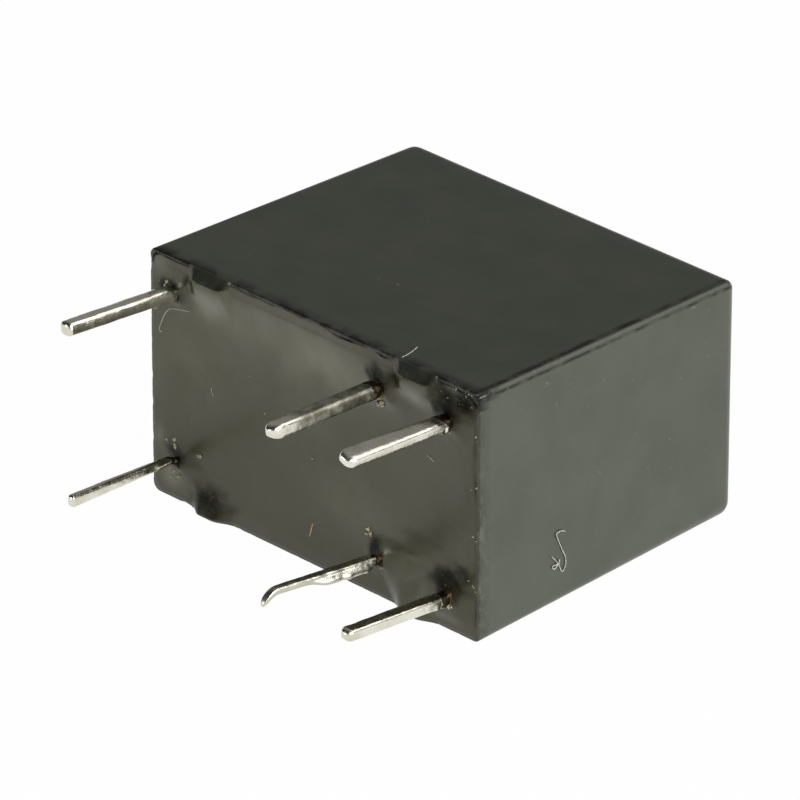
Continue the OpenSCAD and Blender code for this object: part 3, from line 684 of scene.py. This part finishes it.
def buildResin(shape):
    outX, outZ = shape["halfX"] + shape["over"], shape["halfZ"] + shape["over"]
    nx, nz = round(2 * outX / shape["step"]), round(2 * outZ / shape["step"])
    points, hazeAndSheenValues, fluxAndShadeValues = [], [], []
    for i in range(nx + 1):
        for j in range(nz + 1):
            x, z = -outX + 2 * outX * i / nx, -outZ + 2 * outZ * j / nz
            y, hazeAndSheen, fluxAndShade = resinPoint(x, z, shape)
            points.append((x, y, z))
            hazeAndSheenValues.append(hazeAndSheen)
            fluxAndShadeValues.append(fluxAndShade)

    def at(i, j):
        return i * (nz + 1) + j

    faces = [(at(i, j), at(i + 1, j), at(i + 1, j + 1), at(i, j + 1)) for i in range(nx) for j in range(nz)]
    border = [at(i, 0) for i in range(nx)] + [at(nx, j) for j in range(nz)]
    border += [at(i, nz) for i in range(nx, 0, -1)] + [at(0, j) for j in range(nz, 0, -1)]
    gap = shape["plugGap"]  # the plug below stands just clear of the cover's wall
    scaleX, scaleZ = (shape["halfX"] - gap) / outX, (shape["halfZ"] - gap) / outZ
    previous = border
    for y in (shape["plugTop"], shape["bottom"]):
        ring = list(range(len(points), len(points) + len(border)))
        points += [(points[k][0] * scaleX, y, points[k][2] * scaleZ) for k in border]
        hazeAndSheenValues += [0] * len(border)
        fluxAndShadeValues += [0] * len(border)
        for k in range(len(ring)):
            n = (k + 1) % len(ring)
            faces.append((previous[k], previous[n], ring[n], ring[k]))
        previous = ring
    faces.append(tuple(previous))
    meshPiece("sealingResin", points, faces, finishes["resin"], sharpAngle=60,
              replaced=("seal_resin",), fields={"hazeAndSheen": hazeAndSheenValues, "fluxAndShade": fluxAndShadeValues})


buildResin(resinShape)
print("resin poured")

# power squares a pin's section, coatEnd is where its solder ends, and the stamping is kept from cutAt inward.
pinDetail = {
    "sides": 40, "steps": 110, "inside": 0.7, "surface": 0.15, "cutAt": 0.6, "bladeX": 0.125, "bladeZ": 0.2,
    "settle": 0.25, "tipRound": 0.2, "tipWide": 0.15, "tipThick": 0.25, "power": 3.6, "taper": 0, "bend": 0,
    "bendFrom": 0.86, "rollBy": None, "lumps": (), "matt": 0, "mattTip": 0, "mattFade": (-3.1, -2.5),
    "skin": ((0.010, 2.4), (0.004, 9.0)),  # unevenness of the solder: height, scale
}


def lumpsAt(lumps, y, angle):
    total = 0
    for lumpY, lumpAngle, height, length, spread in lumps:
        turn = abs((angle - lumpAngle + 180) % 360 - 180)
        total += height * math.exp(-abs((y - lumpY) / length) ** 3 - (turn / spread) ** 2)
    return total


def buildPin(key, shape):
    rootX, rootZ = pinPlaces[key]
    tip = Vector(shape["tip"])
    inside, surface, power, half = shape["inside"], shape["surface"], shape["power"], shape["settle"]
    tipWide, tipThick = shape["tipWide"], shape["tipThick"]
    rings = []
    for i in range(shape["steps"] + 1):
        y = inside + (tip.y - inside) * (1 - (1 - i / shape["steps"]) ** 1.15)
        out = min(max((surface - y) / (surface - tip.y), 0), 1)
        settle = easeBetween(0, 2 * half, surface + half - y)  # from flat blade to drawn pin
        x = rootX + (tip.x - rootX) * out
        z = rootZ + (shape["root"] - rootZ) * settle + (tip.z - shape["root"]) * out
        z -= shape["bend"] * max(0, (out - shape["bendFrom"]) / (1 - shape["bendFrom"])) ** 2
        toTip = min(max((y - tip.y) / shape["tipRound"], 0), 1)
        cap = math.sqrt(max(1 - (1 - toTip) ** 2, 0.0004))
        slim = 1 - shape["taper"] * out
        wide = shape["bladeX"] * (1 - settle) + shape["wide"] * settle * slim
        wide *= tipWide + (1 - tipWide) * cap
        thick = shape["bladeZ"] * (1 - settle) + shape["thick"] * settle * slim
        thick *= tipThick + (1 - tipThick) * cap
        twist = easeBetween(0, shape["rollBy"], out) if shape["rollBy"] else out
        roll = math.radians(shape["roll"] * twist)
        ring = []
        for k in range(shape["sides"]):
            a = 2 * math.pi * k / shape["sides"]
            c, s = math.cos(a), math.sin(a)
            stretch = (abs(c) ** power + abs(s) ** power) ** (-1 / power)
            dx, dz = wide * stretch * c, thick * stretch * s
            grow = lumpsAt(shape["lumps"], y, math.degrees(a))
            for height, scale in shape["skin"]:
                grow += height * rough(x + dx, y, z + dz, scale, ord(key))
            grow *= settle * (0.3 + 0.7 * toTip)
            length = math.hypot(dx, dz) or 1
            dx, dz = dx * (1 + grow / length), dz * (1 + grow / length)
            turnedX = dx * math.cos(roll) - dz * math.sin(roll)
            turnedZ = dx * math.sin(roll) + dz * math.cos(roll)
            ring.append((x + turnedX, y, z + turnedZ))
        rings.append(ring)
    return rings


def innerStamping(node):
    shell = bmesh.new()
    shell.from_mesh(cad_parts[node].data)
    bmesh.ops.remove_doubles(shell, verts=shell.verts, dist=1e-7)
    geometry = shell.verts[:] + shell.edges[:] + shell.faces[:]
    place = (0, pinDetail["cutAt"] * mm, 0)
    bmesh.ops.bisect_plane(shell, geom=geometry, plane_co=place, plane_no=(0, -1, 0), clear_outer=True)
    bmesh.ops.holes_fill(shell, edges=[e for e in shell.edges if e.is_boundary])
    return shell


def buildTerminal(name, node, keys):
    shell = innerStamping(node)
    bare = shell.verts.layers.float.new("bare")
    matt = shell.verts.layers.float.new("matt")
    for vertex in shell.verts:
        vertex[bare] = 3
    for key in keys:
        shape = {**pinDetail, **pinShape[key]}
        for vertex in addToShell(shell, *bridge(buildPin(key, shape))):
            y = vertex.co.y / mm
            vertex[bare] = y - shape["coatEnd"]
            vertex[matt] = shape["matt"] * max(easeBetween(*shape["mattFade"], y), shape["mattTip"])
    mesh = bpy.data.meshes.new(name)
    closeShell(shell, mesh)
    dressPiece(name, mesh, finishes["solder"], sharpAngle=40, replaced=(node,))


buildTerminal("commonTerminal", "common_terminal", ("A", "D"))
buildTerminal("normallyClosedTerminal", "nc_terminal", ("F",))
buildTerminal("normallyOpenTerminal", "no_terminal", ("C",))
buildTerminal("coilTerminalLow", "coil_terminal_a", ("E",))
buildTerminal("coilTerminalHigh", "coil_terminal_b", ("B",))
print("terminals bent and tinned")


# The winding's turns and the crumbs are repeated by Geometry Nodes, whose result is kept as a plain mesh.
def newGeometryTree(name, inputs):
    tree = bpy.data.node_groups.new(name, "GeometryNodeTree")
    tree.interface.new_socket("Geometry", in_out="OUTPUT", socket_type="NodeSocketGeometry")
    for label, kind in inputs.items():
        tree.interface.new_socket(label, in_out="INPUT", socket_type=kind)
    return tree, addNode(tree, "NodeGroupInput"), addNode(tree, "NodeGroupOutput")


def finishTree(tree, source, output, finish):
    real = addNode(tree, "GeometryNodeRealizeInstances")
    painted = addNode(tree, "GeometryNodeSetMaterial", {"Material": finish})
    feed(tree, real, {"Geometry": source})
    feed(tree, painted, {"Geometry": real.outputs["Geometry"]})
    feed(tree, output, {"Geometry": painted.outputs["Geometry"]})


def runTree(name, tree, values, start=None):
    carrier = addObject(name + "Carrier", start or bpy.data.meshes.new(name + "Start"))
    modifier = carrier.modifiers.new("repeat", "NODES")
    modifier.node_group = tree
    for item in tree.interface.items_tree:
        if item.item_type == "SOCKET" and item.in_out == "INPUT" and item.name in values:
            modifier[item.identifier] = values[item.name]
    bpy.context.view_layer.update()
    ready = carrier.evaluated_get(bpy.context.evaluated_depsgraph_get())
    mesh = bpy.data.meshes.new_from_object(ready)
    mesh.name = name
    bpy.data.objects.remove(carrier)
    return mesh


# pitch and bed count in radii of the wire: the step from turn to turn, and how deep the solid bed lies.
windingShape = {
    "wire": 0.05, "turnSides": 8, "pointsPerTurn": 40, "pitch": 2.04,
    "bed": 1.3, "bore": 1.27, "bedSides": 64,
}


def buildWinding(shape):
    low, high = nodeBox("coil_winding")
    centreY, radius = (low.y + high.y) / 2, (high.y - low.y) / 2
    length, wire, sides = high.x - low.x, shape["wire"], shape["bedSides"]
    turns = int((length - 2 * wire) / (shape["pitch"] * wire))
    inputs = dict.fromkeys(("Turns", "Radius", "Length", "Wire Radius"), "NodeSocketFloat")
    tree, source, output = newGeometryTree("wireTurns", inputs)
    helix = addNode(tree, "GeometryNodeCurveSpiral", {"Resolution": shape["pointsPerTurn"]})
    profile = addNode(tree, "GeometryNodeCurvePrimitiveCircle", {"Resolution": shape["turnSides"]})
    sweep = addNode(tree, "GeometryNodeCurveToMesh", {"Fill Caps": True})
    lay = addNode(tree, "GeometryNodeTransform", {"Rotation": (0, math.pi / 2, 0)})
    given = source.outputs
    feed(tree, helix, {"Rotations": given["Turns"], "Start Radius": given["Radius"],
                       "End Radius": given["Radius"], "Height": given["Length"]})
    feed(tree, profile, {"Radius": given["Wire Radius"]})
    feed(tree, sweep, {"Curve": helix.outputs["Curve"], "Profile Curve": profile.outputs["Curve"]})
    feed(tree, lay, {"Geometry": sweep.outputs["Mesh"]})
    finishTree(tree, lay.outputs["Geometry"], output, finishes["copperWire"])
    mesh = runTree("coilWinding", tree, {
        "Turns": float(turns), "Radius": (radius - wire) * mm, "Length": (length - 2 * wire) * mm,
        "Wire Radius": wire * mm})
    mesh.transform(Matrix.Translation(Vector((low.x + wire, centreY, 0)) * mm))

    shell = bmesh.new()
    shell.from_mesh(mesh)
    bed = radius - shape["bed"] * wire
    rings = []
    for x, r in ((low.x, shape["bore"]), (low.x, bed), (high.x, bed), (high.x, shape["bore"])):
        angles = [2 * math.pi * k / sides for k in range(sides)]
        rings.append([(x, centreY + r * math.cos(a), r * math.sin(a)) for a in angles])
    made = addToShell(shell, *bridge(rings + [rings[0]], closeStart=False, closeEnd=False))
    bmesh.ops.remove_doubles(shell, verts=made, dist=1e-8)
    closeShell(shell, mesh)
    dressPiece("coilWinding", mesh, finishes["copperWire"], sharpAngle=40,
               replaced=("coil_winding",))


buildWinding(windingShape)

crumbShape = {"seed": 7, "sink": 0.006, "reach": (6.04, 3.5), "clusters": [  # x, z, spread, count, size
    (-5.45, 2.60, 0.28, 6, 0.12), (-6.02, 1.70, 0.03, 1, 0.09), (2.40, 2.24, 0.08, 7, 0.21),
    (2.44, 2.04, 0.10, 8, 0.18), (2.48, 2.36, 0.08, 5, 0.12), (2.04, -1.92, 0.10, 7, 0.15),
    (2.28, -2.62, 0.10, 8, 0.11), (2.5, -2.75, 0.14, 8, 0.11), (-5.5, -1.9, 0.24, 4, 0.12),
    (-5.2, -1.88, 0.18, 3, 0.11), (-4.36, -1.98, 0.03, 2, 0.15), (-5.3, -2.75, 0.14, 4, 0.13),
    (4.97, 2.28, 0.10, 6, 0.13), (5.15, -2.75, 0.12, 6, 0.10), (-2.53, 0.97, 0.01, 1, 0.10),
    (-2.01, 0.07, 0.01, 1, 0.09), (-0.22, -0.60, 0.01, 1, 0.07), (5.97, 2.3, 0.14, 4, 0.07),
    (5.99, 0.9, 0.16, 4, 0.06), (5.97, -0.5, 0.18, 5, 0.06), (5.96, -1.9, 0.16, 4, 0.06),
    (5.1, 3.40, 0.28, 6, 0.045), (5.62, 3.42, 0.22, 7, 0.045), (5.95, 3.1, 0.12, 5, 0.04)]}


def crumbSpots(shape):
    dice = random.Random(shape["seed"])
    farX, farZ = shape["reach"]
    places, sizes = [], []
    for cx, cz, spread, count, size in shape["clusters"]:
        for _ in range(count):
            x, z = dice.gauss(cx, spread * 0.6), dice.gauss(cz, spread * 0.6)
            x, z = min(max(x, -farX), farX), min(max(z, -farZ), farZ)
            places.append(Vector((x, resinPoint(x, z, resinShape)[0] - shape["sink"], z)) * mm)
            sizes.append(dice.uniform(0.3, 1.0) * size * mm)
    spots = bpy.data.meshes.new("crumbSpots")
    spots.from_pydata(places, [], [])
    spots.attributes.new("size", "FLOAT", "POINT").data.foreach_set("value", sizes)
    return spots


def buildCrumbs(shape):
    spots = crumbSpots(shape)
    inputs = {"Spots": "NodeSocketGeometry", "Seed": "NodeSocketInt"}
    tree, source, output = newGeometryTree("crumbsOnPoints", inputs)
    grain = addNode(tree, "GeometryNodeMeshIcoSphere", {"Radius": 0.5, "Subdivisions": 2})
    lumps = addNode(tree, "ShaderNodeTexNoise", {"Scale": 1.7, "Detail": 1.0})
    centred = addNode(tree, "ShaderNodeVectorMath", {1: (0.5, 0.5, 0.5)}, operation="SUBTRACT")
    pushed = addNode(tree, "GeometryNodeSetPosition")
    turned = addNode(tree, "FunctionNodeRandomValue", {"Max": (6.3, 6.3, 6.3)}, data_type="FLOAT_VECTOR")
    shown = addNode(tree, "GeometryNodeInstanceOnPoints")
    sized = addNode(tree, "GeometryNodeInputNamedAttribute", {"Name": "size"}, data_type="FLOAT")
    feed(tree, centred, {0: lumps.outputs["Color"]})
    feed(tree, pushed, {"Geometry": grain.outputs["Mesh"], "Offset": centred.outputs["Vector"]})
    feed(tree, turned, {"Seed": source.outputs["Seed"]})
    feed(tree, shown, {"Points": source.outputs["Spots"], "Instance": pushed.outputs["Geometry"],
                       "Rotation": turned.outputs["Value"], "Scale": sized.outputs["Attribute"]})
    finishTree(tree, shown.outputs["Instances"], output, finishes["flux"])
    mesh = runTree("fluxCrumbs", tree, {"Seed": shape["seed"]}, spots)
    dressPiece("fluxCrumbs", mesh, finishes["flux"], sharpAngle=50)


buildCrumbs(crumbShape)
print("winding and crumbs repeated")

# Loose fibres that cling to the relay. Where a path says onResin, its heights are taken from the resin.
fibres = {
    "endFibre": {"finish": "dimFibre", "radius": 0.015, "path": [
        (6.09, 3.468, -1.495), (6.10, 3.294, -1.414), (6.10, 3.121, -1.454), (6.085, 3.23, -1.718),
        (6.085, 3.358, -2.008), (6.085, 3.467, -2.23), (6.085, 3.489, -2.48), (6.09, 3.366, -2.636),
        (6.10, 3.239, -2.428), (6.11, 3.229, -2.23), (6.10, 3.189, -2.365), (6.09, 3.058, -2.456),
        (6.09, 2.997, -2.349), (6.10, 3.17, -2.328), (6.095, 2.955, -2.048)]},
    "topFibre": {"finish": "dimFibre", "radius": 0.012, "path": [
        (3.156, 0.389, 3.605), (3.14, 0.713, 3.612), (3.018, 1.111, 3.602)]},
    "loopFibre": {"finish": "dimFibre", "radius": 0.016, "onResin": True, "path": [
        (-5.70, 0.30, 1.20), (-5.76, 0.27, 1.275), (-5.70, 0.28, 1.484), (-5.62, 0.30, 1.701),
        (-5.51, 0.34, 1.895), (-5.34, 0.36, 1.997), (-5.14, 0.37, 2.043), (-4.94, 0.37, 2.089),
        (-4.70, 0.38, 2.132)]},
    "brownFibre": {"finish": "brownFibre", "radius": 0.018, "onResin": True, "path": [
        (-0.128, 0.385, -2.452), (-0.166, 0.37, -2.665), (-0.25, 0.385, -2.875)]},
    "smallFibre": {"finish": "dimFibre", "radius": 0.013, "onResin": True, "path": [
        (4.092, 0.375, 1.145), (4.227, 0.36, 1.111), (4.361, 0.372, 1.027)]},
    "shortFibre": {"finish": "dimFibre", "radius": 0.011, "onResin": True, "path": [
        (-3.93, 0.385, 0.16), (-3.89, 0.375, 0.05), (-3.85, 0.385, -0.06)]},
}
fibreDetail = {"sides": 8, "endTaper": 0.6, "stepsPerKnot": 6, "lift": 0.006, "sightRise": 0.727}


def layOnResin(path, detail):  # each point slides along the line of sight until it lies on the resin
    laid = []
    for x, y, z in path:
        slide = 0
        for _ in range(4):
            below = resinPoint(x + slide, z + detail["sightRise"] * slide, resinShape)[0]
            slide = y + detail["lift"] - below
        laid.append((x + slide, y - slide, z + detail["sightRise"] * slide))
    return laid


def smoothLine(path, steps):
    knots = [Vector(p) for p in path]
    knots = [2 * knots[0] - knots[1]] + knots + [2 * knots[-1] - knots[-2]]
    line = []
    for i in range(1, len(knots) - 2):
        p0, p1, p2, p3 = knots[i - 1:i + 3]
        for t in (s / steps for s in range(steps)):
            straight = 2 * p1 + (p2 - p0) * t
            curved = (2 * p0 - 5 * p1 + 4 * p2 - p3) * t * t
            line.append(0.5 * (straight + curved + (3 * p1 - p0 - 3 * p2 + p3) * t ** 3))
    return line + [knots[-2]]


def tube(path, radius, detail):
    line = smoothLine(path, detail["stepsPerKnot"])
    angles = [2 * math.pi * k / detail["sides"] for k in range(detail["sides"])]
    rings = []
    side = None
    for i, p in enumerate(line):
        ahead = (line[min(i + 1, len(line) - 1)] - line[max(i - 1, 0)]).normalized()
        side = (side - ahead * side.dot(ahead)).normalized() if side else ahead.orthogonal().normalized()
        other = ahead.cross(side)
        r = radius * (detail["endTaper"] if i in (0, len(line) - 1) else 1)
        rings.append([p + r * (math.cos(a) * side + math.sin(a) * other) for a in angles])
    return bridge(rings)


for name, fibre in fibres.items():
    path = layOnResin(fibre["path"], fibreDetail) if "onResin" in fibre else fibre["path"]
    points, faces = tube(path, fibre["radius"], fibreDetail)
    meshPiece(name, points, faces, finishes[fibre["finish"]], sharpAngle=80)
print("fibres laid:", len(fibres))

# The inner pieces keep their CAD shape.
innerFinishes = {
    "base": "base", "bobbin": "former", "armature_card": "former",
    "coil_lead_a": "copperWire", "coil_lead_b": "copperWire",
    "core": "iron", "yoke": "iron", "pole_plate": "iron", "armature": "iron",
    "hinge_spring": "bronze", "contact_spring": "bronze",
    "moving_contacts": "silver", "spring_rivets": "silver", "nc_contact": "silver", "no_contact": "silver",
}
for node, finishName in innerFinishes.items():
    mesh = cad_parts[node].data
    mesh.materials.clear()
    mesh.materials.append(finishes[finishName])
print("inner pieces dressed:", len(innerFinishes))

# The floor glows in the camera's view and in mirrorings. The lamps' places and sizes are in metres.
studio = {
    "floorSize": 1.2, "floorShade": 0.86, "inView": 0.985, "inGloss": 0.85, "wall": 0.19, "dark": 0.04,
    "lamps": [
        {"name": "keyLamp", "place": (0.56, -0.02, 0.14), "size": 0.50, "power": 5.4},
        {"name": "highLamp", "place": (0.23, 0.31, 0.31), "size": 0.42, "power": 0.60},
        {"name": "fillLamp", "place": (-0.20, -0.50, 0.03), "size": 0.30, "power": 1.0},
    ],
}


def floorFinish(setup):
    finish = bpy.data.materials.new("paleFloor")
    tree = emptyTree(finish)
    out = addNode(tree, "ShaderNodeOutputMaterial")
    matt = addNode(tree, "ShaderNodeBsdfDiffuse", {"Color": (setup["floorShade"],) * 3 + (1,)})
    glow = addNode(tree, "ShaderNodeEmission", {"Color": (1, 1, 1, 1), "Strength": 1.0})
    rays = addNode(tree, "ShaderNodeLightPath").outputs
    mirrored = combine(tree, "MAXIMUM", rays["Is Glossy Ray"], rays["Is Transmission Ray"])
    mirrored = combine(tree, "MULTIPLY", mirrored, setup["inGloss"])
    seen = combine(tree, "MULTIPLY", rays["Is Camera Ray"], setup["inView"])
    mixed = addNode(tree, "ShaderNodeMixShader")
    share = combine(tree, "MAXIMUM", seen, mirrored)
    feed(tree, mixed, {"Fac": share, 1: matt.outputs["BSDF"], 2: glow.outputs["Emission"]})
    feed(tree, out, {"Surface": mixed.outputs["Shader"]})
    return finish


def buildFloor(setup):
    half, floorZ = setup["floorSize"] / 2, min(cadBox[0][2], 0)
    corners = [(-half, -half, floorZ), (half, -half, floorZ), (half, half, floorZ), (-half, half, floorZ)]
    mesh = bpy.data.meshes.new("paleFloor")
    mesh.from_pydata(corners, [], [(0, 1, 2, 3)])
    mesh.materials.append(floorFinish(setup))
    floor = addObject("paleFloor", mesh)


def lightRoom(setup):
    world = bpy.data.worlds.new("softRoom")
    bpy.context.scene.world = world
    sky = emptyTree(world)
    out = addNode(sky, "ShaderNodeOutputWorld")
    glow = addNode(sky, "ShaderNodeBackground", {"Color": (1, 0.995, 0.98, 1)})
    where = addNode(sky, "ShaderNodeTexCoord")
    split = addNode(sky, "ShaderNodeSeparateXYZ")
    feed(sky, split, {"Vector": where.outputs["Generated"]})
    lit = remap(sky, split.outputs["Y"], -0.2, 0.3, setup["dark"], setup["wall"] + setup["dark"])
    feed(sky, glow, {"Strength": lit})
    feed(sky, out, {"Surface": glow.outputs["Background"]})
    for lamp in setup["lamps"]:
        light = bpy.data.lights.new(lamp["name"], "AREA")
        light.shape = "DISK"
        light.size = lamp["size"]
        light.energy = lamp["power"]
        holder = addObject(lamp["name"], light)
        holder.location = lamp["place"]
        holder.rotation_euler = (-Vector(lamp["place"])).to_track_quat("-Z", "Y").to_euler()


buildFloor(studio)
lightRoom(studio)
print("studio lit")
